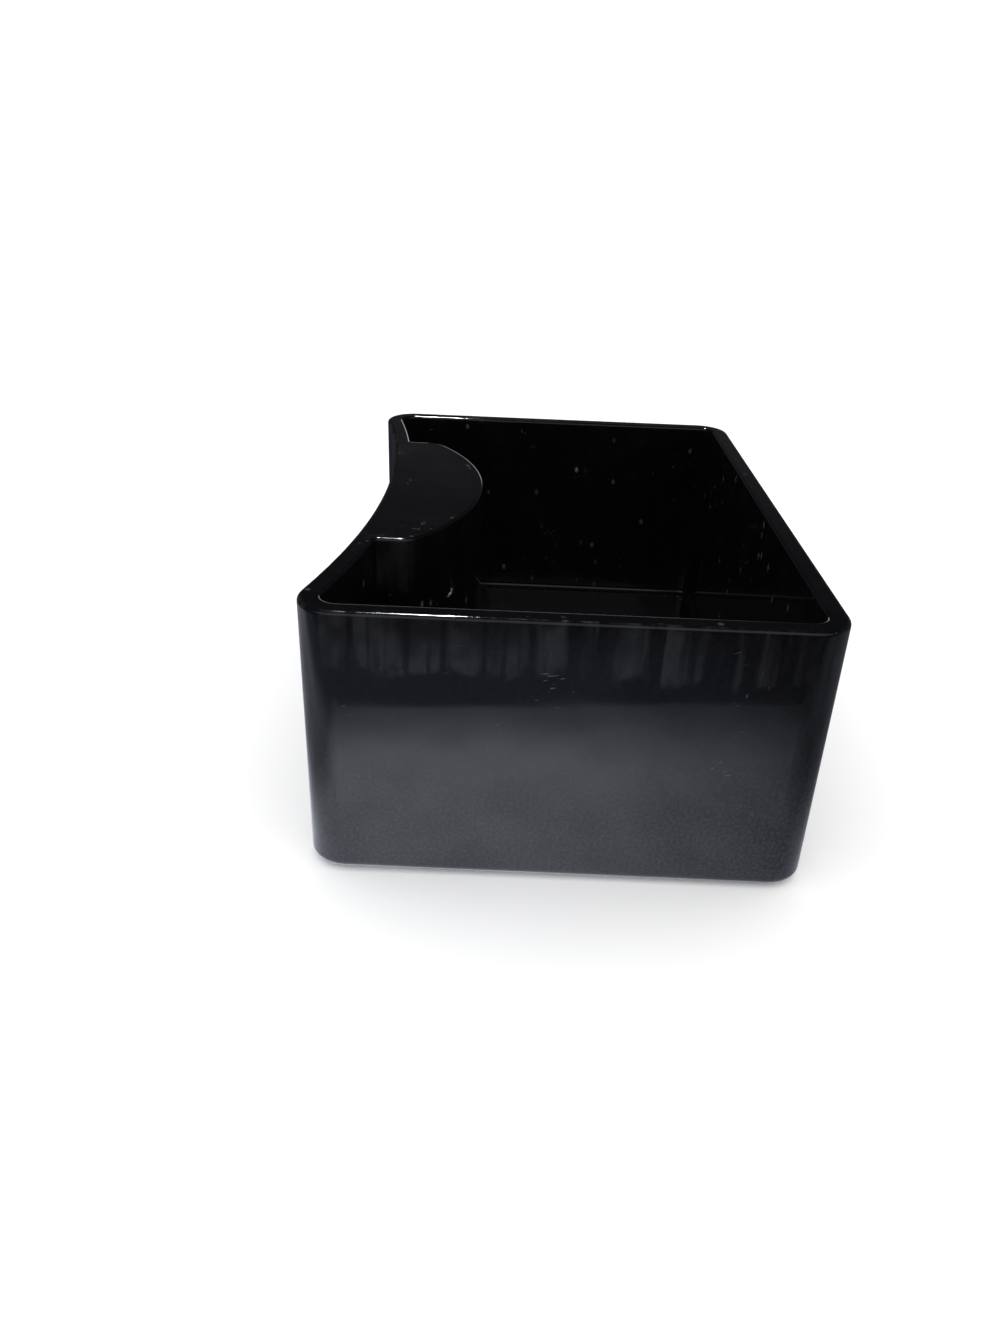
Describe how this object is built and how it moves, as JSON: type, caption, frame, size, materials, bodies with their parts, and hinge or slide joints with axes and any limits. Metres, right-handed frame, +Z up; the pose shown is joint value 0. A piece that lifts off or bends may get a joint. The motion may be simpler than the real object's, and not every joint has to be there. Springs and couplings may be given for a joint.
{
  "type": "drawer organizer insert",
  "caption": "Open rectangular desk drawer bin with thick gloss walls, a front wall curved inwards, and a D-shaped finger-pull lip over a niche in that wall.",
  "frame": {"origin": "middle of the footprint, on the surface that the pads stand on", "axes": "+X right along the length, +Y towards the back wall, +Z up; the finger pull is in the -Y wall"},
  "size_m": [0.127, 0.089, 0.0508],
  "materials": {
    "shell_plastic": "black, gloss, lightly handled",
    "lip_plastic": "black, gloss, a little more worn on top",
    "pad_rubber": "matt dark grey"
  },
  "bodies": {
    "root": {"bin_shell": "shell_plastic", "finger_pull_lip": "lip_plastic", "foot_pad_front_left": "pad_rubber", "foot_pad_front_right": "pad_rubber", "foot_pad_rear_left": "pad_rubber", "foot_pad_rear_right": "pad_rubber"}
  },
  "joints": []
}
